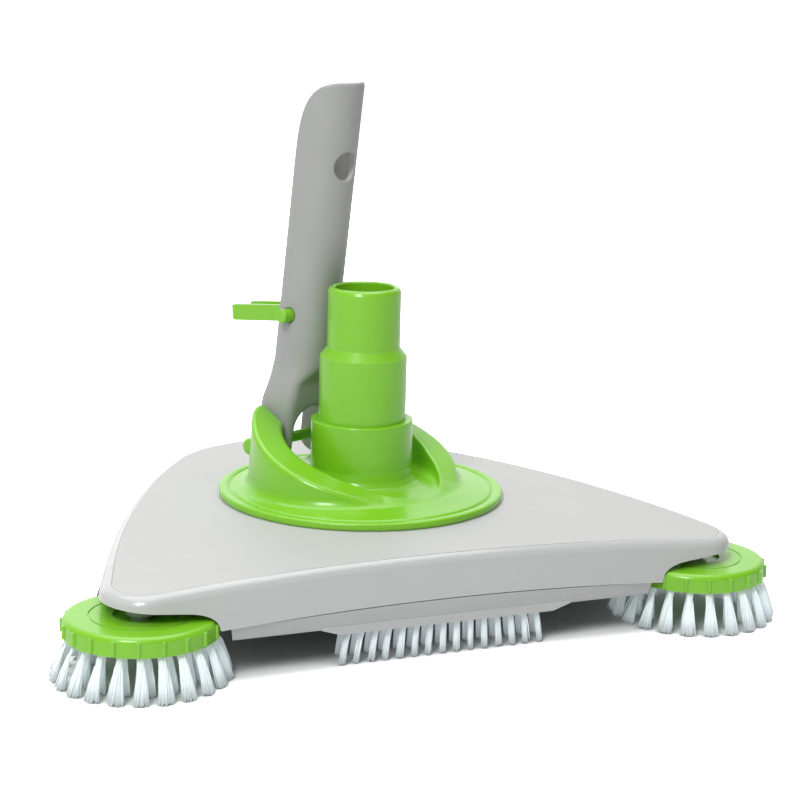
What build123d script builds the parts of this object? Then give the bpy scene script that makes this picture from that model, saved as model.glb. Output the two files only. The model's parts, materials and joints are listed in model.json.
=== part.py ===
from build123d import *
import os
from math import atan2, cos, degrees, radians, sin, sqrt

# Manual vacuum head for a swimming pool: a weighted triangular body on brushes, a round
# swivel base with a stepped hose adapter, and a tilting handle that plugs into a pole.
#
# Millimetres. +Z up, +X to the right, the straight front edge faces -Y.
# Origin: the middle of the footprint, at the level of the bristle tips (the pool floor).
# Every shape below is built around the hose axis and moved to that origin when it is saved.

# ---- driving dimensions -------------------------------------------------------------
HOSE_AXIS_Y = -6.33     # the hose axis stands this far in front of the footprint's middle
RIM_Z = 46.0            # top of the swivel base's rim above the pool floor
SWIVEL_REST = 26.8      # the swivel base stands turned by this angle about +Z

# body outline: three corner circles joined by a straight front and two bowed sides
FRONT_CORNER = (120.0, -78.0)
FRONT_CORNER_R = 14.0
REAR_CORNER = (0.0, 57.0)
REAR_CORNER_R = 64.0
SIDE_R = 618.0

DOME_R = 1500.0         # the top and the seam are parts of large spheres
DOME_TOP = 44.3
SEAT_Z = 43.0           # flat round seat under the swivel base
SEAM_TOP = 28.0
SEAM_GAP = 0.4
WALL = 2.6
SKIRT_OUT = 8.0         # how far the top shell's lower edge stands outside its panel
SKIRT_Z = 20.0
SKIRT_SLOPE = 0.287     # outward run per millimetre down
EDGE_R = 4.6
FLOOR_Z = 16.3          # underside of the bottom shell
BELLY_OUT = 4.5
BELLY_SLOPE = 0.32
PANEL_T = 1.4
PANEL_GAP = 0.15
TOUCH = 0.03            # gap left between faces that rest on each other

# brush wheels
WHEEL_X = 123.0
WHEEL_Y = -80.0
WHEEL_R = 30.4
WHEEL_BOTTOM = 17.7
WHEEL_TOP = 25.4
WHEEL_BORE = 4.06
SPINDLE_R = 4.0
ARCH_R = 33.2
ARCH_Z = 30.2
ARCH_TILT = 5.0
BELLY_ARCH_R = 35.6     # the bottom shell's notch over a wheel
TOWER_R = 6.0
NUBS = 20
WHEEL_TUFTS = ((26.2, 22, 7.6), (20.6, 16, 4.0))     # ring radius, count, outward lean

# brush strips
STRIP_PITCH = 5.85
FRONT_STRIP_Y = -89.0
FRONT_TUFTS = 15
REAR_STRIP_Y = 94.0
REAR_TUFTS = 9
STRIP_ROWS = (-3.2, 3.2)
STRIP_BOTTOM = 13.7

# swivel base
BASE_R = 62.0
BASE_BOTTOM = 43.3
HUB_R = 46.93
HUB_BORE = 41.0
HUB_BOTTOM = 36.1
SEAT_BORE = 47.0
SEAT_COLLAR_R = 51.0
SEAT_COLLAR_Z = 36.2
COLLAR_R = 22.0
COLLAR_BORE = 18.68
COLLAR_TOP = 76.6

# hose adapter: 1 1/4 inch and 1 1/2 inch hose cuffs
SPIGOT_SMALL_R = 15.875
SPIGOT_LARGE_R = 19.05
STUB_R = 18.6           # the part of the adapter that turns inside the collar
ADAPTER_BORE = 12.9
ADAPTER_BOTTOM = 54.0
SPIGOT_STEP = (104.8, 108.6)
ADAPTER_TOP = 134.9

# handle and its axle; heights along the handle are measured from the axle
AXLE_Y = 39.1
AXLE_Z = 62.0
AXLE_R = 2.5
AXLE_SEAT_X = 28.7      # sunk seats for the axle's head and clip
HEAD_SEAT_R = 4.0
CLIP_SEAT_R = 5.0
HANDLE_LEAN = 6.8
WING_INNER = 17.5
WING_BACK = 46.5
LEG_INNER = 11.2
LEG_OUTER = 16.8
EYE_R = 9.0
TUBE_R = 13.5
TUBE_ROOT_R = 13.15     # the tube is a little thinner below the pole's seat
TUBE_SEAT = 64.0
TUBE_BORE = 10.6
TUBE_TOP = 162.0
TUBE_FLOOR = 38.0       # bottom of the tube's bore
MOUTH_START = 23.0
TUBE_MOUTH = 44.0       # half angle of the open back, from straight back
BROW_Y = -12.0          # the tube's top is cut by a quarter ellipse that falls to the back
BROW_REACH = 20.5
BROW_RISE = 34.0
LOCK_HOLE_R = 6.25
LOCK_HOLE_H = 126.0
CLIP_H = 58.0
CLIP_PIN_R = 3.0
CLIP_PIN_OUT = 5.0
CLIP_ARM_TIP = 41.0
CLIP_ARM_DROP = 13.5    # the arms slope down towards the back

os.makedirs("parts", exist_ok=True)


# ---- helpers ------------------------------------------------------------------------
def save(shape, node):
    """Moves a node's solids to the row's origin and writes them."""
    solids = [Pos(0, HOSE_AXIS_Y, 0) * solid for solid in shape.solids()]
    moved = solids[0] if len(solids) == 1 else group(solids)
    moved.label = node
    export_step(moved, f"parts/{node}.step")


def group(shapes):
    return Compound(children=list(shapes))


def rod(radius, low, high, x=0.0, y=0.0):
    """Cylinder along +Z from low to high."""
    body = Cylinder(radius, high - low, align=(Align.CENTER, Align.CENTER, Align.MIN))
    return Pos(x, y, low) * body


def cross_rod(radius, low, high, y=0.0, z=0.0):
    """Cylinder along +X from low to high."""
    body = Cylinder(radius, high - low, align=(Align.CENTER, Align.CENTER, Align.MIN))
    return Pos(low, y, z) * Rot(0, 90, 0) * body


def block(x, y, z):
    """Box from pairs of low and high bounds."""
    size = Box(x[1] - x[0], y[1] - y[0], z[1] - z[0])
    return Pos((x[0] + x[1]) / 2, (y[0] + y[1]) / 2, (z[0] + z[1]) / 2) * size


def ring(outer, inner, low, high, x=0.0, y=0.0):
    return rod(outer, low, high, x, y) - rod(inner, low - 1, high + 1, x, y)


def turned(points):
    """Solid of revolution about Z from (radius, height) points."""
    return revolve(Plane.XZ * make_face(Polyline(*points, close=True)), axis=Axis.Z)


def ball_cap(top):
    """Everything below a large sphere whose top is at this height."""
    return Pos(0, 0, top - DOME_R) * Sphere(DOME_R)


def side_centre():
    """Centre of the right side's arc, which touches both corner circles from inside."""
    ax, ay = FRONT_CORNER
    bx, by = REAR_CORNER
    reach_a = SIDE_R - FRONT_CORNER_R
    reach_b = SIDE_R - REAR_CORNER_R
    gap = sqrt((bx - ax) ** 2 + (by - ay) ** 2)
    along = (reach_a ** 2 - reach_b ** 2 + gap ** 2) / (2 * gap)
    across = sqrt(reach_a ** 2 - along ** 2)
    ux, uy = (bx - ax) / gap, (by - ay) / gap
    return ax + along * ux - across * uy, ay + along * uy + across * ux


def outline(out, height):
    """Body outline, moved outward by out, as a face at this height."""
    cx, cy = side_centre()
    fx, fy = FRONT_CORNER
    front_r = FRONT_CORNER_R + out
    rear_r = REAR_CORNER_R + out
    side_r = SIDE_R + out

    def on_circle(x, y, radius, angle):
        return x + radius * cos(angle), y + radius * sin(angle)

    low = atan2(fy - cy, fx - cx)
    high = atan2(REAR_CORNER[1] - cy, REAR_CORNER[0] - cx)
    corner_mid = (low - radians(90)) / 2
    start = (fx, fy - front_r)
    corner = on_circle(fx, fy, front_r, corner_mid)
    side_low = on_circle(cx, cy, side_r, low)
    side_mid = on_circle(cx, cy, side_r, (low + high) / 2)
    side_high = on_circle(cx, cy, side_r, high)
    rear = (0, REAR_CORNER[1] + rear_r)

    def flip(point):
        return -point[0], point[1]

    edges = [
        Line(flip(start), start),
        ThreePointArc(start, corner, side_low),
        ThreePointArc(side_low, side_mid, side_high),
        ThreePointArc(side_high, rear, flip(side_high)),
        ThreePointArc(flip(side_high), flip(side_mid), flip(side_low)),
        ThreePointArc(flip(side_low), flip(corner), flip(start)),
    ]
    return Pos(0, 0, height) * make_face(Curve() + edges)


def tapered(out_low, low, out_high, high):
    """Body-shaped block whose outline changes evenly with height."""
    return loft([outline(out_low, low), outline(out_high, high)], ruled=True)


def on_swivel(shape):
    """From the swivel base's own frame (front at -Y) to its rest angle."""
    return Rot(0, 0, SWIVEL_REST) * shape


def on_handle(shape):
    """From the handle's own frame (axle at the origin, tube up) to its rest place."""
    return on_swivel(Pos(0, AXLE_Y, AXLE_Z) * Rot(HANDLE_LEAN, 0, 0) * shape)


# ---- body shells --------------------------------------------------------------------
def skirt_block(inset):
    """The top shell's outer form, or its cavity when inset by the wall."""
    high = 46.0
    out_high = SKIRT_OUT - (high - SKIRT_Z) * SKIRT_SLOPE - inset
    return tapered(SKIRT_OUT - inset, SKIRT_Z, out_high, high)


def wheel_arch(radius, rise, side):
    """Tilted bell over a brush wheel, up to the arch's roof plus rise."""
    shoulder = Spline(
        (radius - 12.5, rise),
        (radius - 6.2, rise - 0.7),
        (radius - 1.7, rise - 3.4),
        (radius + 0.2, rise - 7.2),
        (radius + 1.4, rise - 9.8),
        tangents=((1, 0), (1, -1.5)),
    )
    rest = Polyline(shoulder @ 1, (radius + 1.4, -60), (0, -60), (0, rise), shoulder @ 0)
    body = revolve(Plane.XZ * make_face(Curve() + [shoulder, rest]), Axis.Z)
    return Pos(side * WHEEL_X, WHEEL_Y, ARCH_Z) * Rot(0, -side * ARCH_TILT, 0) * body


CASE_SCREWS = ((-84, -86), (84, -86), (-100, -26), (100, -26), (-52, 62), (52, 62))
BALLAST_AT = ((-62, -62), (62, -62), (0, 70))


def build_top_shell():
    form = skirt_block(0) & ball_cap(DOME_TOP)
    top_edges = form.faces().sort_by(Axis.Z)[-1].edges()
    form = fillet(top_edges, EDGE_R)
    cavity = skirt_block(WALL) & ball_cap(DOME_TOP - WALL)
    shell = form - cavity
    seat = rod(BASE_R + 1, SEAT_Z - WALL, SEAT_Z)
    collar = ring(SEAT_COLLAR_R, SEAT_BORE, SEAT_COLLAR_Z, SEAT_Z)
    shell = shell - rod(BASE_R + 1, SEAT_Z, SEAT_Z + 5) + seat + collar
    for x, y in CASE_SCREWS:
        boss = rod(4.2, FLOOR_Z + 6.4, 45, x, y) & cavity
        shell = shell + boss
    for side in (-1, 1):
        arch = wheel_arch(ARCH_R + 2.4, 2.4, side) & form
        tower = rod(TOWER_R, WHEEL_TOP + 0.3, 45, side * WHEEL_X, WHEEL_Y) & form
        shell = shell + arch - wheel_arch(ARCH_R, 0, side) + tower
    shell = shell - rod(SEAT_BORE, SEAT_COLLAR_Z - 1, 60)
    shell = shell - panel_block(PANEL_GAP)
    shell = shell - ball_cap(SEAM_TOP)
    for side in (-1, 1):
        shell = shell - rod(2.0, WHEEL_BOTTOM, 36, side * WHEEL_X, WHEEL_Y)
    for x, y in CASE_SCREWS:
        shell = shell - rod(1.75, 15, 35, x, y)
    return shell


def panel_block(gap):
    """Domed insert on top of the shell; gap widens it into the shell's recess."""
    slab = extrude(outline(gap - 0.4, 25), 25)
    band = ball_cap(DOME_TOP + gap) - ball_cap(DOME_TOP - PANEL_T - gap)
    flat = rod(BASE_R + 1 - gap, 30, 60)
    return (slab & band) - flat


def build_top_panel():
    return panel_block(0)


def belly_block(inset, low):
    """The bottom shell's outer form, or its cavity when inset by the wall."""
    high = 30.0
    out_low = BELLY_OUT + (low - FLOOR_Z) * BELLY_SLOPE - inset
    out_high = BELLY_OUT + (high - FLOOR_Z) * BELLY_SLOPE - inset
    return tapered(out_low, low, out_high, high)


def strip_bulge(y, half):
    """Boss under the bottom shell that holds a brush strip."""
    side = Polyline(
        (-half - 10, FLOOR_Z + 1),
        (half + 10, FLOOR_Z + 1),
        (half + 10, FLOOR_Z),
        (half + 2, STRIP_BOTTOM),
        (-half - 2, STRIP_BOTTOM),
        (-half - 10, FLOOR_Z),
        close=True,
    )
    body = extrude(Plane.XZ * make_face(side), 16)
    return Pos(0, y + 8, 0) * body


def strip_half(count):
    return (count - 1) * STRIP_PITCH / 2 + 4


def build_bottom_shell():
    shell = belly_block(0, FLOOR_Z) - belly_block(WALL, FLOOR_Z + WALL)
    shell = shell & ball_cap(SEAM_TOP - SEAM_GAP)
    shell = shell - rod(31, FLOOR_Z - 1, 30)
    shell = shell + ring(34, 31, FLOOR_Z, 33.2)
    for y, count in ((FRONT_STRIP_Y, FRONT_TUFTS), (REAR_STRIP_Y, REAR_TUFTS)):
        half = strip_half(count)
        shell = shell + strip_bulge(y, half)
        slot = block((-half - 0.1, half + 0.1), (y - 6.1, y + 6.1), (STRIP_BOTTOM - 1, FLOOR_Z + 2))
        shell = shell - slot
        shell = shell + block((-half - 2, half + 2), (y - 8, y + 8), (FLOOR_Z + 2, FLOOR_Z + 3.6))
    for x, y in CASE_SCREWS:
        shell = shell + rod(4.6, FLOOR_Z, FLOOR_Z + 6.3, x, y)
    for x, y in BALLAST_AT:
        shell = shell + rod(3.0, FLOOR_Z + 1, FLOOR_Z + 12, x, y)
    for side in (-1, 1):
        shell = shell - rod(BELLY_ARCH_R, 0, 40, side * WHEEL_X, WHEEL_Y)
    for x, y in CASE_SCREWS:
        shell = shell - rod(1.9, 10, 30, x, y)
        shell = shell - rod(3.4, 10, FLOOR_Z + 3, x, y)
    return shell


def build_ballast():
    slabs = []
    for x, y in BALLAST_AT:
        wide = 44 if x else 56
        deep = 34 if x else 24
        low = FLOOR_Z + WALL + TOUCH
        slab = block((x - wide / 2, x + wide / 2), (y - deep / 2, y + deep / 2), (low, low + 8))
        slab = fillet(slab.edges().filter_by(Axis.Z), 5)
        slabs.append(slab - rod(3.1, 0, 60, x, y))
    return slabs


def screw(shank_r, head_r, head_h, low, high, x, y):
    """Pan head screw pointing up, its head below low."""
    body = rod(shank_r, low - 0.5, high, x, y) + rod(head_r, low - head_h, low - TOUCH, x, y)
    for turn in (0, 90):
        body = body - Pos(x, y, low - head_h) * Rot(0, 0, turn) * Box(head_r * 1.3, 0.7, 1.2)
    return body


def build_case_screws():
    low = FLOOR_Z + 3
    return group(screw(1.7, 3.1, 2.2, low, low + 12, x, y) for x, y in CASE_SCREWS)


# ---- brush strips -------------------------------------------------------------------
def strip_places(y, count):
    first = -(count - 1) * STRIP_PITCH / 2
    return [(first + i * STRIP_PITCH, y + row) for row in STRIP_ROWS for i in range(count)]


def build_strip_holder(y, count):
    half = strip_half(count)
    bar = block((-half, half), (y - 6, y + 6), (STRIP_BOTTOM, FLOOR_Z + 1.9))
    for x, row_y in strip_places(y, count):
        bar = bar - rod(1.75, STRIP_BOTTOM - 1, STRIP_BOTTOM + 3, x, row_y)
    return bar


def tuft(x, y, low, depth, root_r, tip):
    """Bundle of bristles: a round root set in its hole, flaring to a flattened tip."""
    tip_x, tip_y, turn, wide, deep = tip
    root = rod(root_r, low, low + depth, x, y)
    top = Pos(x, y, low) * Circle(root_r)
    bottom = Pos(tip_x, tip_y, 0) * Rot(0, 0, turn) * Ellipse(wide, deep)
    return root + loft([bottom, top], ruled=True)


def build_strip_tufts(y, count):
    tufts = []
    for x, row_y in strip_places(y, count):
        lean = (row_y - y) * 0.35
        tufts.append(tuft(x, row_y, STRIP_BOTTOM, 2.9, 1.65, (x, row_y + lean, 0, 2.4, 1.9)))
    return group(tufts)


# ---- brush wheels -------------------------------------------------------------------
def ring_places(radius, count):
    return [(radius, radians(360 / count * (i + 0.5))) for i in range(count)]


def build_wheel(side):
    """Round brush wheel, bored for its spindle and drilled for its tufts."""
    x, y = side * WHEEL_X, WHEEL_Y
    disc = rod(WHEEL_R, WHEEL_BOTTOM, WHEEL_TOP)
    disc = fillet(disc.edges().sort_by(Axis.Z)[-1], 2.4)
    groove = ring(20.6, 19.8, WHEEL_TOP - 0.5, WHEEL_TOP + 1)
    disc = disc - groove - rod(11, WHEEL_TOP - 1.2, WHEEL_TOP + 1)
    for i in range(NUBS):
        nub = rod(0.9, WHEEL_BOTTOM + 0.8, WHEEL_TOP - 1.6, WHEEL_R + 0.1, 0)
        disc = disc + Rot(0, 0, 360 / NUBS * i) * nub
    disc = disc - rod(WHEEL_BORE, 0, 60) - rod(7.6, WHEEL_BOTTOM - 1, WHEEL_BOTTOM + 2.2)
    for radius, count, _ in WHEEL_TUFTS:
        for r, angle in ring_places(radius, count):
            disc = disc - rod(1.9, WHEEL_BOTTOM - 1, WHEEL_BOTTOM + 3.5, r * cos(angle), r * sin(angle))
    return Pos(x, y, 0) * disc


def build_wheel_tufts(side):
    tufts = []
    for radius, count, lean in WHEEL_TUFTS:
        for r, angle in ring_places(radius, count):
            x, y = r * cos(angle), r * sin(angle)
            out = 1 + lean / r
            tip = (x * out, y * out, degrees(angle), 1.8, 2.9)
            bundle = tuft(x, y, WHEEL_BOTTOM, 3.4, 1.8, tip)
            tufts.append(Pos(side * WHEEL_X, WHEEL_Y, 0) * bundle)
    return group(tufts)


def build_spindle(side):
    """Shoulder screw that carries a brush wheel under the top shell."""
    x, y = side * WHEEL_X, WHEEL_Y
    body = rod(SPINDLE_R, WHEEL_BOTTOM + 0.6, WHEEL_TOP + 0.2, x, y) + rod(1.95, WHEEL_TOP, 34, x, y)
    return body + rod(3.4, WHEEL_BOTTOM - 1.4, WHEEL_BOTTOM + 0.7, x, y)


def build_wheel_washer(side):
    low = WHEEL_BOTTOM + 0.9
    return ring(7.2, 4.1, low, low + 1.1, side * WHEEL_X, WHEEL_Y)


# ---- swivel base --------------------------------------------------------------------
WING_SECTIONS = (
    (36, 34.0, 41.0, 4.2, 3.2),
    (53, 32.6, 44.0, 9.2, 6.5),
    (69, 32.5, 46.0, 12.2, 10.1),
    (84, 34.4, 47.5, 15.7, 14.0),
    (99, 35.4, 48.4, 19.3, 18.4),
    (114, 34.8, 48.8, 22.5, 23.1),
    (130, 34.2, 48.6, 24.8, 29.2),
    (143, 34.6, 48.2, 26.2, 33.8),
    (156, 35.2, 47.8, 25.8, 33.0),
)
# angle from the front, inner and outer crest radius, inner and outer crest height over the rim


def wing_section(angle, inner, outer, inner_up, outer_up, side):
    low = RIM_Z - 0.6
    points = (
        (inner, low),
        (outer + 3.2, low),
        (outer + 1.0, RIM_Z + min(outer_up * 0.5, 4.0)),
        (outer, RIM_Z + outer_up),
        (inner, RIM_Z + inner_up),
    )
    face = Plane.XZ * make_face(Polyline(*points, close=True))
    return Rot(0, 0, -90 + side * angle) * face


def build_wing(side):
    """Ramp that climbs round the hose collar and carries one end of the axle."""
    wing = loft([wing_section(*section, side) for section in WING_SECTIONS])
    clear = block((-WING_INNER, WING_INNER), (18, 90), (0, 120))
    behind = block((-80, 80), (WING_BACK, 90), (0, 120))
    return wing - clear - behind


def build_swivel_base():
    body = turned([
        (HUB_BORE, HUB_BOTTOM),
        (HUB_R, HUB_BOTTOM),
        (HUB_R, BASE_BOTTOM),
        (BASE_R - 0.6, BASE_BOTTOM),
        (BASE_R, BASE_BOTTOM + 0.6),
        (BASE_R, RIM_Z - 0.8),
        (BASE_R - 0.8, RIM_Z),
        (58.7, RIM_Z),
        (58.2, RIM_Z - 0.6),
        (57.6, RIM_Z - 0.6),
        (57.0, RIM_Z + 0.2),
        (42.0, RIM_Z + 1.6),
        (31.0, RIM_Z + 2.8),
        (26.0, RIM_Z + 3.6),
        (23.5, RIM_Z + 5.3),
        (COLLAR_R, RIM_Z + 9.0),
        (COLLAR_R, COLLAR_TOP - 0.8),
        (COLLAR_R - 0.8, COLLAR_TOP),
        (COLLAR_BORE + 0.7, COLLAR_TOP),
        (COLLAR_BORE, COLLAR_TOP - 0.7),
        (COLLAR_BORE, 60.2),
        (COLLAR_BORE + 0.6, 60.2),
        (COLLAR_BORE + 0.6, 57.8),
        (COLLAR_BORE, 57.8),
        (COLLAR_BORE, ADAPTER_BOTTOM - 0.1),
        (ADAPTER_BORE + 0.6, ADAPTER_BOTTOM - 0.1),
        (ADAPTER_BORE + 0.6, 50.0),
        (18.0, 47.2),
        (HUB_BORE - 3, 44.6),
        (HUB_BORE, 42.6),
    ])
    body = body - ring(HUB_R + 1, HUB_R - 1.9, 38.6, 40.8)
    body = body + build_wing(-1) + build_wing(1)
    body = body - cross_rod(AXLE_R + 0.02, -60, 60, AXLE_Y, AXLE_Z)
    body = body - cross_rod(HEAD_SEAT_R, -60, -AXLE_SEAT_X, AXLE_Y, AXLE_Z)
    body = body - cross_rod(CLIP_SEAT_R, AXLE_SEAT_X, 60, AXLE_Y, AXLE_Z)
    for x, y in retainer_places():
        body = body - rod(1.15, HUB_BOTTOM - 1, 42, x, y)
    return on_swivel(body)


def retainer_places():
    return [(44 * cos(radians(a)), 44 * sin(radians(a))) for a in (45, 135, 225, 315)]


def build_retainer():
    """Ring screwed under the hub that keeps the swivel base in the top shell."""
    plate = ring(51.5, HUB_BORE, HUB_BOTTOM - 2.4, HUB_BOTTOM)
    for x, y in retainer_places():
        plate = plate - rod(1.3, 30, 40, x, y)
    return on_swivel(plate)


def build_retainer_screws():
    low = HUB_BOTTOM - 2.4
    return group(on_swivel(screw(1.1, 2.2, 1.4, low, low + 7, x, y)) for x, y in retainer_places())


def build_swivel_seal():
    return Pos(0, 0, 39.7) * Torus(HUB_R - 0.92, 0.9)


def build_axle_pin():
    end = AXLE_SEAT_X + 2.1
    pin = cross_rod(AXLE_R, -AXLE_SEAT_X - 0.5, end, AXLE_Y, AXLE_Z)
    head = cross_rod(3.8, -AXLE_SEAT_X - 2.4, -AXLE_SEAT_X - 0.1, AXLE_Y, AXLE_Z)
    head = fillet(head.edges().sort_by(Axis.X)[0], 1.4)
    waist = cross_rod(AXLE_R + 1, AXLE_SEAT_X + 0.4, AXLE_SEAT_X + 1.3, AXLE_Y, AXLE_Z)
    waist = waist - cross_rod(1.9, AXLE_SEAT_X, end, AXLE_Y, AXLE_Z)
    return on_swivel(pin + head - waist)


def build_axle_clip():
    """Retaining clip in the groove at the axle's plain end."""
    plate = cross_rod(4.6, AXLE_SEAT_X + 0.5, AXLE_SEAT_X + 1.2, AXLE_Y, AXLE_Z)
    plate = plate - cross_rod(1.95, AXLE_SEAT_X, AXLE_SEAT_X + 2, AXLE_Y, AXLE_Z)
    mouth = block((AXLE_SEAT_X, AXLE_SEAT_X + 2), (AXLE_Y - 1.6, AXLE_Y + 1.6), (AXLE_Z - 6, AXLE_Z))
    return on_swivel(plate - mouth)


# ---- hose adapter -------------------------------------------------------------------
def build_hose_adapter():
    return turned([
        (ADAPTER_BORE, ADAPTER_BOTTOM),
        (STUB_R - 0.6, ADAPTER_BOTTOM),
        (STUB_R, ADAPTER_BOTTOM + 0.8),
        (STUB_R, 58.1),
        (STUB_R + 0.6, 58.4),
        (STUB_R + 0.6, 59.6),
        (STUB_R, 59.9),
        (STUB_R, COLLAR_TOP),
        (SPIGOT_LARGE_R, COLLAR_TOP + 0.1),
        (SPIGOT_LARGE_R, SPIGOT_STEP[0]),
        (SPIGOT_SMALL_R, SPIGOT_STEP[1]),
        (SPIGOT_SMALL_R, ADAPTER_TOP - 2.0),
        (SPIGOT_SMALL_R - 0.5, ADAPTER_TOP - 0.7),
        (SPIGOT_SMALL_R - 1.5, ADAPTER_TOP),
        (ADAPTER_BORE + 0.6, ADAPTER_TOP),
        (ADAPTER_BORE, ADAPTER_TOP - 0.6),
    ])


# ---- handle -------------------------------------------------------------------------
def fork():
    """Two legs that straddle the axle and meet in an arch under the tube."""
    side_view = Polyline(
        (-EYE_R, 0), (-EYE_R, 28), (-10.4, 31.5), (-12.4, 34), (-13.2, 37), (-13.2, 42),
        (9.6, 42), (9.8, 36), (9.9, 15), (EYE_R, 0), close=True,
    )
    front_view = Polyline(
        (-LEG_OUTER, -12), (-LEG_OUTER, 14), (-16.2, 20), (-15.2, 26), (-14.2, 32), (-13.5, 42),
        (13.5, 42), (14.2, 32), (15.2, 26), (16.2, 20), (LEG_OUTER, 14), (LEG_OUTER, -12), close=True,
    )
    legs = extrude(Plane.YZ * make_face(side_view), 20, both=True) + cross_rod(EYE_R, -20, 20)
    legs = legs & extrude(Plane.XZ * make_face(front_view), 30, both=True)
    corners = block((-20, 20), (-30, 10), (-12, 42))
    corners = fillet(corners.edges().filter_by(Axis.Z), 5)
    round_front = Pos(0, 0, -12) * extrude(RectangleRounded(2 * LEG_OUTER, 27, 5), 54)
    legs = legs & Pos(0, -3.5, 0) * round_front & corners
    gap = block((-LEG_INNER, LEG_INNER), (-30, 30), (-20, 7))
    arch = Pos(0, 30, 7) * Rot(90, 0, 0) * extrude(Ellipse(LEG_INNER, 9.5), 60)
    return legs - gap - arch


def build_handle():
    """Open-backed tube that plugs into the pole, on a fork that straddles the axle."""
    body = fork() + rod(TUBE_ROOT_R, 40, TUBE_SEAT) + rod(TUBE_R, TUBE_SEAT, TUBE_TOP)
    body = body - rod(TUBE_BORE, TUBE_FLOOR, TUBE_TOP + 1)
    mouth_x = 30 * sin(radians(TUBE_MOUTH))
    mouth_y = 30 * cos(radians(TUBE_MOUTH))
    wedge = Polyline((0, 0), (mouth_x, mouth_y), (-mouth_x, mouth_y), close=True)
    body = body - Pos(0, 0, MOUTH_START) * extrude(make_face(wedge), 200)
    brow = Pos(0, BROW_Y, TUBE_TOP - BROW_RISE) * extrude(Plane.YZ * Ellipse(BROW_REACH, BROW_RISE), 20, both=True)
    body = body & (brow + block((-20, 20), (-30, 30), (-20, TUBE_TOP - BROW_RISE)))
    lock_hole = Pos(0, -5, LOCK_HOLE_H) * Rot(90, 0, 0) * extrude(Circle(LOCK_HOLE_R), 20)
    body = body - lock_hole - cross_rod(CLIP_PIN_R + 0.15, -20, 20, 0, CLIP_H)
    body = body - cross_rod(AXLE_R + 0.05, -20, 20)
    return on_handle(body)


def build_clip_jaw(side):
    """Half of the pole clip: a spring-loaded pin with a squeeze arm at the back."""
    plate = block((5.0, 8.0), (-5, 5), (-3.75, 3.75))
    arm = block((4.7, 7.1), (-5, CLIP_ARM_TIP), (-3.6, 3.6))
    arm = fillet(arm.edges().filter_by(Axis.X).group_by(Axis.Y)[-1], 1.2)
    pin = cross_rod(CLIP_PIN_R, 6, TUBE_R + CLIP_PIN_OUT)
    pin = fillet(pin.edges().sort_by(Axis.X)[-1], 0.8)
    jaw = Pos(0, 0, CLIP_H) * Rot(-CLIP_ARM_DROP, 0, 0) * (plate + arm + pin)
    if side < 0:
        jaw = mirror(jaw, about=Plane.YZ)
    return on_handle(jaw)


def build_clip_spring():
    """Bent leaf that pushes the two clip jaws apart."""
    outer = 3.5
    thick = 0.6
    bow = ring(outer, outer - thick, CLIP_H - 2.5, CLIP_H + 2.5, 0, -5)
    bow = bow - block((-10, 10), (-5, 5), (CLIP_H - 5, CLIP_H + 5))
    for side in (-1, 1):
        x = sorted((side * outer, side * (outer - thick)))
        bow = bow + block(x, (-5, 3), (CLIP_H - 2.5, CLIP_H + 2.5))
    return on_handle(bow)


# ---- write every node ---------------------------------------------------------------
save(build_top_shell(), "top_shell")
save(build_top_panel(), "top_panel")
save(build_bottom_shell(), "bottom_shell")
for name, slab in zip(("left", "right", "rear"), build_ballast()):
    save(slab, f"ballast_{name}")
save(build_case_screws(), "case_screws")
for name, strip_y, tuft_count in (
    ("front", FRONT_STRIP_Y, FRONT_TUFTS),
    ("rear", REAR_STRIP_Y, REAR_TUFTS),
):
    save(build_strip_holder(strip_y, tuft_count), f"{name}_strip_holder")
    save(build_strip_tufts(strip_y, tuft_count), f"{name}_strip_tufts")
for name, hand in (("left", -1), ("right", 1)):
    save(build_wheel(hand), f"{name}_brush_wheel")
    save(build_wheel_tufts(hand), f"{name}_wheel_tufts")
    save(build_spindle(hand), f"{name}_wheel_spindle")
    save(build_wheel_washer(hand), f"{name}_wheel_washer")
    save(build_clip_jaw(hand), f"{name}_clip_jaw")
save(build_swivel_base(), "swivel_base")
save(build_retainer(), "swivel_retainer")
save(build_retainer_screws(), "retainer_screws")
save(build_swivel_seal(), "swivel_seal")
save(build_axle_pin(), "axle_pin")
save(build_axle_clip(), "axle_clip")
save(build_hose_adapter(), "hose_adapter")
save(build_handle(), "handle")
save(build_clip_spring(), "clip_spring")
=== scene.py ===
import json
import math

import bpy
import numpy as np
from mathutils import Matrix, Vector


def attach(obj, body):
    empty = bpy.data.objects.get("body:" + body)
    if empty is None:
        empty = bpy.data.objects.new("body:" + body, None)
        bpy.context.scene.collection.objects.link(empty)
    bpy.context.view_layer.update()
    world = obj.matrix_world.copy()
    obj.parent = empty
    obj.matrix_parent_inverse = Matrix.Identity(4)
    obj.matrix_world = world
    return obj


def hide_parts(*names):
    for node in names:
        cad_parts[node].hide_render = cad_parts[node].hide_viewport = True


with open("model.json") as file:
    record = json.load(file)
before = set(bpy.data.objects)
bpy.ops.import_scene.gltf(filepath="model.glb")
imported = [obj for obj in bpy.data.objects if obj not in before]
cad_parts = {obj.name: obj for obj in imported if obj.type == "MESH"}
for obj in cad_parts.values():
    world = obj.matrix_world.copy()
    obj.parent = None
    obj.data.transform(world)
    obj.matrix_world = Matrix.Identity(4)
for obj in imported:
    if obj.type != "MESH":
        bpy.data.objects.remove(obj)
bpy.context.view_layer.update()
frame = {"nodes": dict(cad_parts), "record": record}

# Looks for a pool vacuum head. Shapes below are worked out in millimetres in the part's own
# frame and scaled to metres when they become meshes.
MM = 0.001

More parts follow.
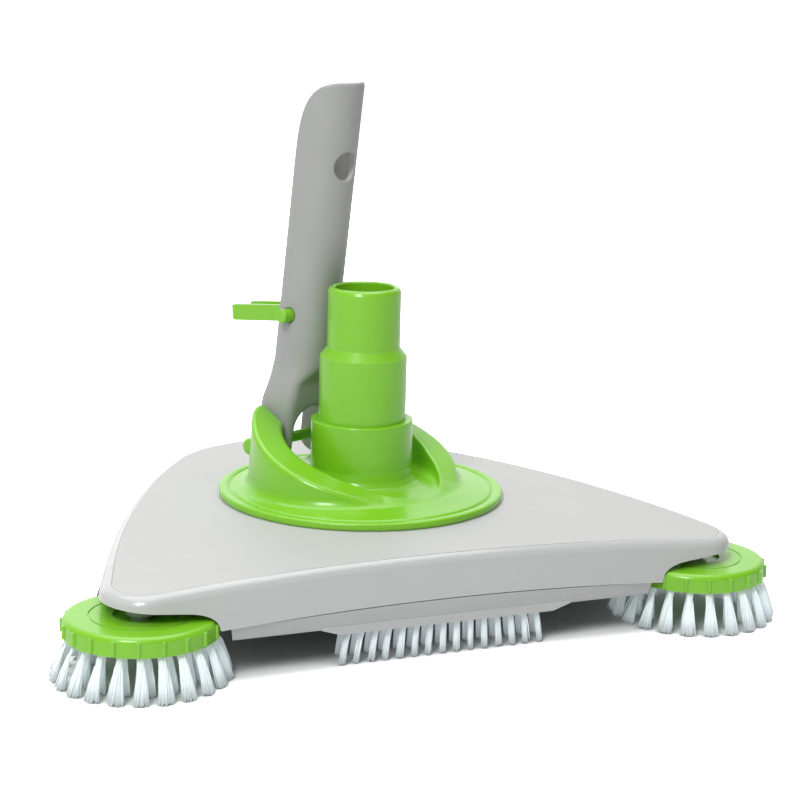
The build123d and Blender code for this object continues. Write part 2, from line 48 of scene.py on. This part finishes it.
# ---- camera: where the viewer stands, in degrees and metres --------------------------
CAMERA_SIDE = -22.2         # the viewer stands this far round from straight in front
CAMERA_DISTANCE = 0.895
CAMERA_HEIGHT = 0.2845
LOOK_SIDE = 1.05            # aims this far to the right of the hose axis
LOOK_DOWN = 12.56
CAMERA_ROLL = 1.41
LENS_MM = 94.5
SENSOR_MM = 36.0

# ---- sizes shared with the CAD part, in millimetres ----------------------------------
HOSE_AXIS_Y = -6.33         # the hose axis stands this far in front of the row's origin
SWIVEL_REST = 26.8          # the swivel base's turn at rest, in degrees
RIM_Z = 46.0
BASE_R = 62.0
BASE_BOTTOM = 43.3
HUB_R = 46.93
HUB_BORE = 41.0
HUB_BOTTOM = 36.1
COLLAR_R = 22.0
COLLAR_BORE = 18.68
COLLAR_TOP = 76.6
ADAPTER_BOTTOM = 54.0
WATERWAY_R = 13.5
AXLE_Y = 39.1
AXLE_Z = 62.0
AXLE_BORE = 2.52
AXLE_SEAT_X = 28.7          # sunk seats for the axle's head and clip
HEAD_SEAT_R = 4.0
CLIP_SEAT_R = 5.0
WING_INNER = 17.5
HANDLE_LEAN = 6.8
TUBE_R = 13.5
TUBE_BORE = 10.6
TUBE_TOP = 162.0
BROW_Y = -12.0              # the tube's top is cut by a quarter ellipse that falls to the back
BROW_REACH = 20.5
BROW_RISE = 34.0
LEG_INNER = 11.2
CLIP_H = 58.0
CLIP_PIN_HOLE_R = 3.2
EYE_R = 9.5                 # the legs' round ends
LOCK_HOLE_H = 126.0
LOCK_HOLE_R = 6.25
WHEEL_X = 123.0
WHEEL_Y = -86.33
WHEEL_BOTTOM = 17.7
STRIP_BOTTOM = 13.7
FRONT_STRIP_Y = -95.33
REAR_STRIP_Y = 87.67
STRIP_PITCH = 5.85


# ---- mesh from a distance field -------------------------------------------------------
def cell_sum(values, out):
    """Adds up the values of each cell's twelve edges, given per edge direction."""
    nx, ny, nz = out.shape[:3]
    for axis in range(3):
        for i in (0, 1):
            for j in (0, 1):
                step = [i, j]
                step.insert(axis, 0)
                x, y, z = step
                out += values[axis][x:x + nx, y:y + ny, z:z + nz]


def surface_points(field, low, high, step):
    """One point per grid cell that the surface field = 0 crosses, and quads between them."""
    axes = [np.arange(a, b + step, step) for a, b in zip(low, high)]
    grid = np.stack(np.meshgrid(*axes, indexing="ij"), axis=-1)
    value = field(grid.reshape(-1, 3)).reshape(grid.shape[:3])
    inside = value < 0
    cells = tuple(n - 1 for n in value.shape)
    hits, places = [], []
    for axis in range(3):
        first = [slice(None)] * 3
        second = [slice(None)] * 3
        first[axis] = slice(0, -1)
        second[axis] = slice(1, None)
        a, b = value[tuple(first)], value[tuple(second)]
        hit = inside[tuple(first)] != inside[tuple(second)]
        part = np.where(hit, a / np.where(hit, a - b, 1.0), 0.0)
        place = grid[tuple(first)].copy()
        place[..., axis] += part * step
        hits.append(hit)
        places.append(place * hit[..., None])
    count = np.zeros(cells)
    total = np.zeros(cells + (3,))
    cell_sum([h.astype(float) for h in hits], count)
    cell_sum(places, total)
    used = count > 0
    number = -np.ones(cells, dtype=int)
    number[used] = np.arange(used.sum())
    points = total[used] / count[used][:, None]
    quads = []
    for axis in range(3):
        others = [a for a in range(3) if a != axis]
        index = np.argwhere(hits[axis])
        keep = np.all([(index[:, a] > 0) & (index[:, a] < value.shape[a] - 1) for a in others], axis=0)
        index = index[keep]
        corners = []
        for i, j in ((1, 1), (0, 1), (0, 0), (1, 0)):
            cell = index.copy()
            cell[:, others[0]] -= i
            cell[:, others[1]] -= j
            corners.append(number[tuple(cell.T)])
        faces = np.stack(corners, axis=1)
        turn = inside[tuple(index.T)] == (axis == 1)
        faces[turn] = faces[turn][:, ::-1]
        quads.append(faces)
    return points, np.concatenate(quads)


def gradient(field, points, reach=0.02):
    parts = []
    for axis in range(3):
        shift = np.zeros(3)
        shift[axis] = reach
        parts.append((field(points + shift) - field(points - shift)) / (2 * reach))
    return np.stack(parts, axis=1)


def pull_to_surface(field, points, step):
    """Moves the points onto the surface itself, no further than half a grid step."""
    start = points.copy()
    for _ in range(4):
        slope = gradient(field, points)
        size = np.maximum((slope ** 2).sum(axis=1), 0.05)
        points = points - slope * (field(points) / size)[:, None]
        points = start + np.clip(points - start, -step / 2, step / 2)
    return points


def smooth_min(a, b, k):
    h = np.clip(0.5 + 0.5 * (b - a) / k, 0, 1)
    return b + (a - b) * h - k * h * (1 - h)


def smooth_max(a, b, k):
    return -smooth_min(-a, -b, k)


def ease(value, low, high):
    """0 below low, 1 above high, smooth between."""
    t = np.clip((value - low) / (high - low), 0, 1)
    return t * t * (3 - 2 * t)


def polygon_distance(x, y, corners):
    """Signed distance to a closed polygon, negative inside."""
    corners = np.asarray(corners, float)
    best = np.full(x.shape, 1e9)
    sign = np.ones(x.shape)
    for a, b in zip(corners, np.roll(corners, -1, axis=0)):
        ex, ey = b - a
        wx, wy = x - a[0], y - a[1]
        t = np.clip((wx * ex + wy * ey) / (ex * ex + ey * ey), 0, 1)
        best = np.minimum(best, (wx - ex * t) ** 2 + (wy - ey * t) ** 2)
        above, below = y >= a[1], y < b[1]
        left = ex * wy > ey * wx
        flip = (above & below & left) | (~above & ~below & ~left)
        sign = np.where(flip, -sign, sign)
    return sign * np.sqrt(best)


def swivel_matrix():
    return Matrix.Translation((0, HOSE_AXIS_Y * MM, 0)) @ Matrix.Rotation(math.radians(SWIVEL_REST), 4, "Z")


def handle_matrix():
    place = Matrix.Translation((0, AXLE_Y * MM, AXLE_Z * MM))
    return swivel_matrix() @ place @ Matrix.Rotation(math.radians(HANDLE_LEAN), 4, "X")


def add_piece(name, points, faces, material, body, matrix=None, smooth=True):
    """Mesh piece from points in millimetres, riding on a CAD body."""
    mesh = bpy.data.meshes.new(name)
    mesh.from_pydata((np.asarray(points) * MM).tolist(), [], [list(face) for face in faces])
    if matrix is not None:
        mesh.transform(matrix)
    mesh.validate()
    if smooth:
        mesh.shade_smooth()
    mesh.materials.append(material)
    piece = bpy.data.objects.new(name, mesh)
    bpy.context.scene.collection.objects.link(piece)
    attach(piece, body)
    return piece


# ---- materials ------------------------------------------------------------------------
def node(tree, kind, **inputs):
    made = tree.nodes.new(kind)
    for name, value in inputs.items():
        made.inputs[name.replace("_", " ")].default_value = value
    return made


def plastic(name, colour, rough=0.38, grain=900.0, bump=0.05, wear=0.5, mottle=0.05, sheen=0.0, painted_glow=0.0):
    """Moulded plastic: slight colour drift, fine grain, and paler, rougher worn edges.
    A nonzero glow is painted light: the surface emits its own colour to stand in for light that thin nylon
    lets through."""
    material = bpy.data.materials.new(name)
    material.use_nodes = True
    tree = material.node_tree
    link = tree.links.new
    shader = tree.nodes["Principled BSDF"]
    where = tree.nodes.new("ShaderNodeTexCoord")

    drift = node(tree, "ShaderNodeTexNoise", Scale=35.0, Detail=4.0, Roughness=0.6)
    link(where.outputs["Object"], drift.inputs["Vector"])
    tint = tree.nodes.new("ShaderNodeValToRGB")
    dark = [c * (1 - mottle) for c in colour]
    pale = [min(c * (1 + mottle), 1) for c in colour]
    tint.color_ramp.elements[0].position = 0.3
    tint.color_ramp.elements[1].position = 0.7
    tint.color_ramp.elements[0].color = (*dark, 1)
    tint.color_ramp.elements[1].color = (*pale, 1)
    link(drift.outputs["Fac"], tint.inputs["Fac"])

    soft = node(tree, "ShaderNodeBevel", Radius=0.0006)
    soft.samples = 4
    flat = tree.nodes.new("ShaderNodeNewGeometry")
    turned = tree.nodes.new("ShaderNodeVectorMath")
    turned.operation = "DOT_PRODUCT"
    link(soft.outputs["Normal"], turned.inputs[0])
    link(flat.outputs["Normal"], turned.inputs[1])
    edge = node(tree, "ShaderNodeMapRange", From_Min=0.995, From_Max=0.9, To_Min=0.0, To_Max=wear)
    link(turned.outputs["Value"], edge.inputs["Value"])
    scuff = node(tree, "ShaderNodeTexNoise", Scale=160.0, Detail=6.0, Roughness=0.7)
    link(where.outputs["Object"], scuff.inputs["Vector"])
    broken = tree.nodes.new("ShaderNodeMath")
    broken.operation = "MULTIPLY"
    link(edge.outputs["Result"], broken.inputs[0])
    link(scuff.outputs["Fac"], broken.inputs[1])
    mix = tree.nodes.new("ShaderNodeMix")
    mix.data_type = "RGBA"
    link(broken.outputs["Value"], mix.inputs["Factor"])
    link(tint.outputs["Color"], mix.inputs["A"])
    worn = [c + (1 - c) * 0.35 for c in colour]
    mix.inputs["B"].default_value = (*worn, 1)
    link(mix.outputs["Result"], shader.inputs["Base Color"])

    shine = node(tree, "ShaderNodeMapRange", To_Min=rough - 0.05, To_Max=rough + 0.07)
    link(scuff.outputs["Fac"], shine.inputs["Value"])
    link(shine.outputs["Result"], shader.inputs["Roughness"])

    fine = node(tree, "ShaderNodeTexNoise", Scale=grain, Detail=3.0, Roughness=0.6)
    link(where.outputs["Object"], fine.inputs["Vector"])
    rise = node(tree, "ShaderNodeBump", Strength=bump, Distance=0.0004)
    link(fine.outputs["Fac"], rise.inputs["Height"])
    link(rise.outputs["Normal"], shader.inputs["Normal"])
    shader.inputs["IOR"].default_value = 1.49
    shader.inputs["Coat Weight"].default_value = sheen
    # Emission is painted light: a surface given glow shines with its own colour though it is no lamp.
    shader.inputs["Emission Color"].default_value = (*colour, 1)
    shader.inputs["Emission Strength"].default_value = painted_glow
    shader.inputs["Coat Roughness"].default_value = 0.12
    return material


def metal(name, colour, rough):
    """Brushed or cast metal with a fine directional grain."""
    material = bpy.data.materials.new(name)
    material.use_nodes = True
    tree = material.node_tree
    link = tree.links.new
    shader = tree.nodes["Principled BSDF"]
    where = tree.nodes.new("ShaderNodeTexCoord")
    grain = node(tree, "ShaderNodeTexNoise", Scale=700.0, Detail=6.0, Roughness=0.7)
    link(where.outputs["Object"], grain.inputs["Vector"])
    tint = tree.nodes.new("ShaderNodeValToRGB")
    tint.color_ramp.elements[0].color = (*[c * 0.75 for c in colour], 1)
    tint.color_ramp.elements[1].color = (*colour, 1)
    link(grain.outputs["Fac"], tint.inputs["Fac"])
    link(tint.outputs["Color"], shader.inputs["Base Color"])
    shine = node(tree, "ShaderNodeMapRange", To_Min=rough - 0.08, To_Max=rough + 0.12)
    link(grain.outputs["Fac"], shine.inputs["Value"])
    link(shine.outputs["Result"], shader.inputs["Roughness"])
    rise = node(tree, "ShaderNodeBump", Strength=0.15, Distance=0.0002)
    link(grain.outputs["Fac"], rise.inputs["Height"])
    link(rise.outputs["Normal"], shader.inputs["Normal"])
    shader.inputs["Metallic"].default_value = 1.0
    return material


SHELL_GREY = plastic("shell_plastic", (0.50, 0.508, 0.505), rough=0.24, bump=0.025, mottle=0.012, sheen=0.5)
PANEL_GREY = plastic("panel_plastic", (0.49, 0.49, 0.487), rough=0.46, bump=0.07, grain=1500, mottle=0.015)
HANDLE_GREY = plastic("handle_plastic", (0.365, 0.37, 0.363), rough=0.42, bump=0.04, mottle=0.02)
GREEN = plastic("green_plastic", (0.20, 0.54, 0.014), rough=0.30, bump=0.03, mottle=0.04, sheen=0.35)
NYLON = (0.80, 0.87, 0.89)
# The bristles' glow is painted light: they emit a little of their own colour in place of light shining
# through the nylon.
BRISTLE = plastic("bristle_nylon", NYLON, rough=0.45, bump=0.0, wear=0.0, mottle=0.05, painted_glow=0.16)
HOLDER_WHITE = plastic("holder_plastic", (0.62, 0.64, 0.65), rough=0.42, mottle=0.03)
SEAL_BLACK = plastic("seal_rubber", (0.02, 0.02, 0.022), rough=0.6, bump=0.1, wear=0.1)
STEEL = metal("stainless_steel", (0.72, 0.72, 0.70), 0.28)
IRON = metal("cast_iron", (0.18, 0.17, 0.16), 0.6)
FINISHES = {
    "shell_grey": SHELL_GREY,
    "panel_grey": PANEL_GREY,
    "handle_grey": HANDLE_GREY,
    "green_plastic": GREEN,
    "bristle_white": BRISTLE,
    "holder_white": HOLDER_WHITE,
    "seal_black": SEAL_BLACK,
    "stainless": STEEL,
    "ballast_iron": IRON,
}


def finish_nodes():
    """Gives every CAD node the finish of its material slot in the record."""
    for part in frame["record"]["subparts"]:
        for slot in frame["nodes"][part["node"]].material_slots:
            slot.material = FINISHES[part["material_slot"]]


# ---- swivel base ------------------------------------------------------------------------
# The wings' edges: angle from the front, radius, height over the rim.
CREST_OUTER = (
    (10, 36.0, -2.0), (24, 37.2, 1.0), (38, 39.4, 3.6), (53, 42.4, 6.5), (69, 45.2, 10.1),
    (84, 47.5, 14.0), (99, 48.4, 18.4), (114, 48.8, 23.4), (130, 48.6, 29.6),
    (143, 48.2, 34.4), (152, 47.9, 34.6), (165, 47.6, 32.0), (180, 47.6, 28.0),
)
CREST_INNER = (
    (8, 42.0, -2.0), (20, 38.0, 2.0), (30, 35.5, 4.8), (49, 32.8, 8.6), (69, 32.6, 12.2), (84, 34.4, 15.7),
    (96, 35.6, 18.8), (108, 35.3, 21.5), (124, 34.2, 24.0), (143, 34.6, 25.8), (180, 35.0, 25.0),
)


def eased_table(rows, angle):
    """Smooth radius and height along a wing's edge."""
    rows = np.asarray(rows, float)
    dense = np.arange(0, 181.0)
    window = np.exp(-0.5 * (np.arange(-12, 13) / 5.0) ** 2)
    window /= window.sum()
    found = []
    for column in (1, 2):
        line = np.interp(dense, rows[:, 0], rows[:, column])
        padded = np.concatenate([np.full(12, line[0]), line, np.full(12, line[-1])])
        found.append(np.interp(angle, dense, np.convolve(padded, window, "valid")))
    return found


def base_profile():
    return [
        (HUB_BORE, HUB_BOTTOM), (HUB_R, HUB_BOTTOM), (HUB_R, BASE_BOTTOM),
        (BASE_R, BASE_BOTTOM), (BASE_R, RIM_Z - 0.4), (BASE_R - 0.6, RIM_Z), (58.9, RIM_Z),
        (58.3, RIM_Z - 0.8), (57.5, RIM_Z - 0.8), (56.9, RIM_Z + 0.1), (50.0, RIM_Z + 0.7),
        (42.0, RIM_Z + 1.6), (31.0, RIM_Z + 2.7), (27.0, RIM_Z + 3.3), (24.4, RIM_Z + 4.6),
        (22.9, RIM_Z + 6.8), (COLLAR_R, RIM_Z + 10.5), (COLLAR_R, COLLAR_TOP),
        (COLLAR_BORE, COLLAR_TOP), (COLLAR_BORE, ADAPTER_BOTTOM - 0.1),
        (WATERWAY_R, ADAPTER_BOTTOM - 0.1), (WATERWAY_R, 50.0), (18.0, 47.2),
        (HUB_BORE - 3, 44.6), (HUB_BORE, 42.6),
    ]


def swivel_base_field(p):
    x, y, z = p.T
    r = np.hypot(x, y)
    turned = polygon_distance(r, z, base_profile()) - 0.25
    angle = np.degrees(np.arctan2(np.abs(x), -y))
    outer_r, outer_z = eased_table(CREST_OUTER, angle)
    inner_r, inner_z = eased_table(CREST_INNER, angle)
    across = np.clip((r - inner_r) / np.maximum(outer_r - inner_r, 4.0), -0.6, 1.4)
    top = RIM_Z + inner_z + (outer_z - inner_z) * across
    roof = (z - top) * 0.88
    draft = 0.05 * (z - RIM_Z)
    wing = smooth_max(roof, r - outer_r - 1.2 + draft, 2.2)
    wing = smooth_max(wing, inner_r - r + 0.02 * (z - RIM_Z), 1.4)
    wing = smooth_max(wing, RIM_Z - 1.0 - z, 0.5)
    wing = smooth_max(wing, WING_INNER - np.abs(x) - 40 * ease(30 - y, 4, 12), 1.2)
    wing = smooth_max(wing, y - AXLE_Y - 8.6, 2.0)
    body = smooth_min(turned, wing, 5.0 * ease(z, RIM_Z - 2, RIM_Z + 1) + 0.2)
    bore = np.hypot(y - AXLE_Y, z - AXLE_Z)
    body = np.maximum(body, AXLE_BORE - bore)
    seat = np.maximum(bore - np.where(x < 0, HEAD_SEAT_R, CLIP_SEAT_R), AXLE_SEAT_X - np.abs(x))
    return np.maximum(body, -seat)


def build_swivel_base():
    low = (-63.0, -63.0, HUB_BOTTOM - 0.9)
    high = (63.0, 63.0, RIM_Z + 37.0)
    step = 0.7
    points, faces = surface_points(swivel_base_field, low, high, step)
    points = pull_to_surface(swivel_base_field, points, step)
    piece = add_piece("swivel_base_moulding", points, faces, GREEN, "swivel", swivel_matrix())
    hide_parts("swivel_base")


# ---- handle -----------------------------------------------------------------------------
def handle_field(p):
    x, y, h = p.T
    fork = 1 - ease(h, 14.0, 38.0)
    front = 1 - ease(h, 27.0, 38.0)
    half_x = TUBE_R + 3.3 * fork
    y_front = -TUBE_R + 4.5 * front
    y_back = TUBE_R - 3.0 * fork
    middle = (y_front + y_back) / 2
    half_y = (y_back - y_front) / 2
    round_off = np.where(y < middle, TUBE_R - 9.0 * front, TUBE_R - 11.5 * fork)
    round_off = np.minimum(round_off, np.minimum(half_x, half_y))
    qx = np.abs(x) - half_x + round_off
    qy = np.abs(y - middle) - half_y + round_off
    body = np.hypot(np.maximum(qx, 0), np.maximum(qy, 0)) + np.minimum(np.maximum(qx, qy), 0) - round_off
    eye = np.hypot(y - 0.5, np.minimum(h, 0)) - EYE_R
    body = smooth_max(body, np.where(h < 6, eye, -9.0), 0.8)

    brow = np.hypot((y - BROW_Y) / BROW_REACH, np.maximum(h - TUBE_TOP + BROW_RISE, 0) / BROW_RISE) - 1
    body = smooth_max(body, brow * BROW_REACH, 1.2)

    bore = np.hypot(x, y) - TUBE_BORE
    bore = smooth_max(bore, y_front + 2.9 - y, 1.0)
    bore = smooth_max(bore, 25.0 - h, 2.0)
    spread = 8.0 * (1 - ease(h, 22.0, 42.0))
    mouth = (np.abs(x) - spread - np.maximum(y, 0) * 0.97) * 0.72
    mouth = np.maximum(mouth, 2.0 - y)
    mouth = np.maximum(mouth, 14.0 - h)
    arch = (np.hypot(x / LEG_INNER, np.maximum(h - 7.0, 0) / 9.5) - 1) * 9.5
    for hollow, k in ((bore, 0.6), (mouth, 1.0), (arch, 1.6)):
        body = smooth_max(body, -hollow, k)

    hole = np.hypot(x, h - LOCK_HOLE_H) - LOCK_HOLE_R
    body = smooth_max(body, -np.maximum(hole, y + 2), 1.5)
    pin = np.hypot(y, h - CLIP_H) - CLIP_PIN_HOLE_R
    body = smooth_max(body, -pin, 0.7)
    return smooth_max(body, 2.55 - np.hypot(y, h), 0.4)


def build_handle():
    low = (-18.0, -15.0, -11.0)
    high = (18.0, 12.5, TUBE_TOP + 1.5)
    step = 0.62
    points, faces = surface_points(handle_field, low, high, step)
    points = pull_to_surface(handle_field, points, step)
    piece = add_piece("handle_moulding", points, faces, HANDLE_GREY, "handle", handle_matrix())
    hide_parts("handle")


# ---- bristles -----------------------------------------------------------------------------
FILAMENT_R = 0.36
FILAMENT_SIDES = 5
FILAMENT_RINGS = 4


def filament(points, faces, root, tip, bow):
    """Thin round bristle from root to tip, spreading early and bowed sideways by bow."""
    root, tip, bow = (np.asarray(v, float) for v in (root, tip, bow))
    first = len(points)
    turns = np.arange(FILAMENT_SIDES) * 2 * math.pi / FILAMENT_SIDES
    circle = np.stack([np.cos(turns), np.sin(turns), np.zeros(FILAMENT_SIDES)], axis=1)
    for i in range(FILAMENT_RINGS):
        t = i / (FILAMENT_RINGS - 1)
        fan = t ** 0.65
        middle = root + (tip - root) * (fan, fan, t) + bow * t * (1 - t) * 4
        thin = FILAMENT_R * (1 - 0.25 * t)
        points.extend((middle + circle * thin).tolist())
    for i in range(FILAMENT_RINGS - 1):
        low = first + i * FILAMENT_SIDES
        for j in range(FILAMENT_SIDES):
            k = (j + 1) % FILAMENT_SIDES
            faces.append((low + k, low + j, low + FILAMENT_SIDES + j, low + FILAMENT_SIDES + k))
    end = first + (FILAMENT_RINGS - 1) * FILAMENT_SIDES
    faces.append(tuple(end + j for j in reversed(range(FILAMENT_SIDES))))
    faces.append(tuple(first + j for j in range(FILAMENT_SIDES)))


def tuft(points, faces, rng, place, top, lean, spread, count, root_r=1.6):
    """Bundle of bristles set in a hole at place, leaning and fanning out to the floor.
    lean is the tip's sideways shift; spread is the tip ellipse's two half axes as vectors;
    root_r is the bundle's radius in its hole."""
    golden = math.pi * (3 - math.sqrt(5))
    for i in range(count):
        reach = math.sqrt((i + 0.5) / count)
        turn = i * golden
        u, v = reach * math.cos(turn), reach * math.sin(turn)
        root = np.array([place[0] + root_r * u, place[1] + root_r * v, top + 1.0])
        stray = rng.normal(0, 0.22, 2)
        tip = np.array([place[0] + lean[0], place[1] + lean[1], 0.35 + abs(rng.normal(0, 0.9))])
        tip[:2] += np.asarray(spread[0]) * u + np.asarray(spread[1]) * v + stray
        bow = np.array([*rng.normal(0, 0.10, 2), 0.0])
        filament(points, faces, root, tip, bow)


WHEEL_TUFTS = ((26.2, 22, 7.6), (20.6, 16, 4.0))     # ring radius, count, outward lean


def build_wheel_bristles(side, name):
    rng = np.random.default_rng(7 if side < 0 else 11)
    points, faces = [], []
    for radius, count, lean in WHEEL_TUFTS:
        for i in range(count):
            turn = math.radians(360 / count * (i + 0.5))
            out = np.array([math.cos(turn), math.sin(turn)])
            along = np.array([-out[1], out[0]])
            place = np.array([side * WHEEL_X, WHEEL_Y]) + out * radius
            spread = (out * 1.9, along * 3.2)
            tuft(points, faces, rng, place, WHEEL_BOTTOM, out * lean, spread, 48)
    piece = add_piece(f"{name}_wheel_bristles", points, faces, BRISTLE, f"{name}_wheel")
    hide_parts(f"{name}_wheel_tufts")


STRIP_FAN = 0.07            # tips' outward shift per millimetre from the strip's middle
ROW_SHIFT = 1.4             # the front row leans left and the rear row right
ROW_SPLAY = 0.7
STRIP_SPREAD = ((1.15, 0), (0, 1.1))


def build_strip_bristles(name, y, count, seed):
    rng = np.random.default_rng(seed)
    points, faces = [], []
    for row in (-3.2, 3.2):
        for i in range(count):
            along = (i - (count - 1) / 2) * STRIP_PITCH
            lean = (STRIP_FAN * along + np.sign(row) * ROW_SHIFT, row * ROW_SPLAY)
            tuft(points, faces, rng, (along, y + row), STRIP_BOTTOM, lean, STRIP_SPREAD, 30, 1.0)
    piece = add_piece(f"{name}_strip_bristles", points, faces, BRISTLE, "body")
    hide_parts(f"{name}_strip_tufts")


# ---- stage ----------------------------------------------------------------------------------
def add_camera():
    data = bpy.data.cameras.new("camera")
    data.sensor_width = SENSOR_MM
    data.lens = LENS_MM
    data.clip_start = 0.05
    camera = bpy.data.objects.new("camera", data)
    bpy.context.scene.collection.objects.link(camera)
    side = math.radians(CAMERA_SIDE)
    place = Vector((math.sin(side), -math.cos(side), 0)) * CAMERA_DISTANCE
    place += Vector((0, HOSE_AXIS_Y * MM, CAMERA_HEIGHT))
    turn = math.radians(CAMERA_SIDE - LOOK_SIDE)
    down = math.radians(LOOK_DOWN)
    ahead = Vector((-math.sin(turn) * math.cos(down), math.cos(turn) * math.cos(down), -math.sin(down)))
    right = ahead.cross(Vector((0, 0, 1))).normalized()
    up = right.cross(ahead)
    roll = math.radians(CAMERA_ROLL)
    across = right * math.cos(roll) + up * math.sin(roll)
    upward = up * math.cos(roll) - right * math.sin(roll)
    matrix = Matrix((across, upward, -ahead)).transposed().to_4x4()
    matrix.translation = place
    camera.matrix_world = matrix
    bpy.context.scene.camera = camera


FLOOR_ALBEDO = 0.80
FLOOR_SEEN = 2.7            # the viewer sees the floor overexposed, as a white sweep


def add_floor():
    mesh = bpy.data.meshes.new("floor")
    mesh.from_pydata([(-9, -9, 0), (9, -9, 0), (9, 9, 0), (-9, 9, 0)], [], [(0, 1, 2, 3)])
    floor = bpy.data.objects.new("floor", mesh)
    bpy.context.scene.collection.objects.link(floor)
    material = bpy.data.materials.new("floor")
    material.use_nodes = True
    tree = material.node_tree
    tree.nodes.remove(tree.nodes["Principled BSDF"])
    paper = tree.nodes.new("ShaderNodeBsdfDiffuse")
    eye = tree.nodes.new("ShaderNodeLightPath")
    level = node(tree, "ShaderNodeMapRange", To_Min=FLOOR_ALBEDO, To_Max=FLOOR_SEEN)
    tree.links.new(eye.outputs["Is Camera Ray"], level.inputs["Value"])
    # Painted shadow: ambient occlusion darkens the floor's own colour, a painted contact shadow under and
    # around the head.
    shade = node(tree, "ShaderNodeAmbientOcclusion", Distance=0.24)
    shade.samples = 8
    painted_shadow = node(tree, "ShaderNodeMapRange", From_Min=0.15, From_Max=0.92, To_Min=0.20, To_Max=1.0)
    tree.links.new(shade.outputs["AO"], painted_shadow.inputs["Value"])
    product = tree.nodes.new("ShaderNodeMath")
    product.operation = "MULTIPLY"
    tree.links.new(level.outputs["Result"], product.inputs[0])
    tree.links.new(painted_shadow.outputs["Result"], product.inputs[1])
    tree.links.new(product.outputs["Value"], paper.inputs["Color"])
    tree.links.new(paper.outputs["BSDF"], tree.nodes["Material Output"].inputs["Surface"])
    mesh.materials.append(material)


def add_light(name, place, target, size, power):
    data = bpy.data.lights.new(name, "AREA")
    data.shape = "RECTANGLE"
    data.size, data.size_y = size
    data.energy = power
    lamp = bpy.data.objects.new(name, data)
    bpy.context.scene.collection.objects.link(lamp)
    lamp.location = place
    lamp.rotation_euler = (Vector(target) - Vector(place)).to_track_quat("-Z", "Y").to_euler()


def add_world():
    """Soft studio surround, brighter behind the head and to its left; the viewer sees white."""
    world = bpy.data.worlds.new("studio")
    world.use_nodes = True
    tree = world.node_tree
    link = tree.links.new
    background = tree.nodes["Background"]
    where = tree.nodes.new("ShaderNodeTexCoord")
    turn = math.radians(CAMERA_SIDE)
    leftward = (-math.cos(turn), -math.sin(turn), 0)
    away = (-math.sin(turn), math.cos(turn), 0)
    levels = []
    for direction, start, low, high in ((leftward, -1.0, 0.26, 0.60), (away, 0.45, 0.72, 3.0)):
        aim = tree.nodes.new("ShaderNodeVectorMath")
        aim.operation = "DOT_PRODUCT"
        aim.inputs[1].default_value = direction
        link(where.outputs["Generated"], aim.inputs[0])
        level = node(tree, "ShaderNodeMapRange", From_Min=start, From_Max=1.0, To_Min=low, To_Max=high)
        link(aim.outputs["Value"], level.inputs["Value"])
        levels.append(level)
    level = tree.nodes.new("ShaderNodeMath")
    level.operation = "MULTIPLY"
    link(levels[0].outputs["Result"], level.inputs[0])
    link(levels[1].outputs["Result"], level.inputs[1])
    eye = tree.nodes.new("ShaderNodeLightPath")
    pick = tree.nodes.new("ShaderNodeMix")
    link(eye.outputs["Is Camera Ray"], pick.inputs["Factor"])
    link(level.outputs["Value"], pick.inputs["A"])
    pick.inputs["B"].default_value = 1.0
    link(pick.outputs["Result"], background.inputs["Strength"])
    background.inputs["Color"].default_value = (1, 1, 1, 1)
    bpy.context.scene.world = world


finish_nodes()
build_swivel_base()
build_handle()
build_wheel_bristles(-1, "left")
build_wheel_bristles(1, "right")
build_strip_bristles("front", FRONT_STRIP_Y, 15, 3)
build_strip_bristles("rear", REAR_STRIP_Y, 9, 5)
add_camera()
add_floor()
add_light("key", (-0.9, -1.0, 1.3), (0, 0, 0.05), (0.5, 0.7), 18)
add_light("top", (0.0, 0.3, 1.8), (0, 0, 0), (1.8, 1.8), 26)
add_world()
bpy.context.scene.view_settings.view_transform = "Standard"
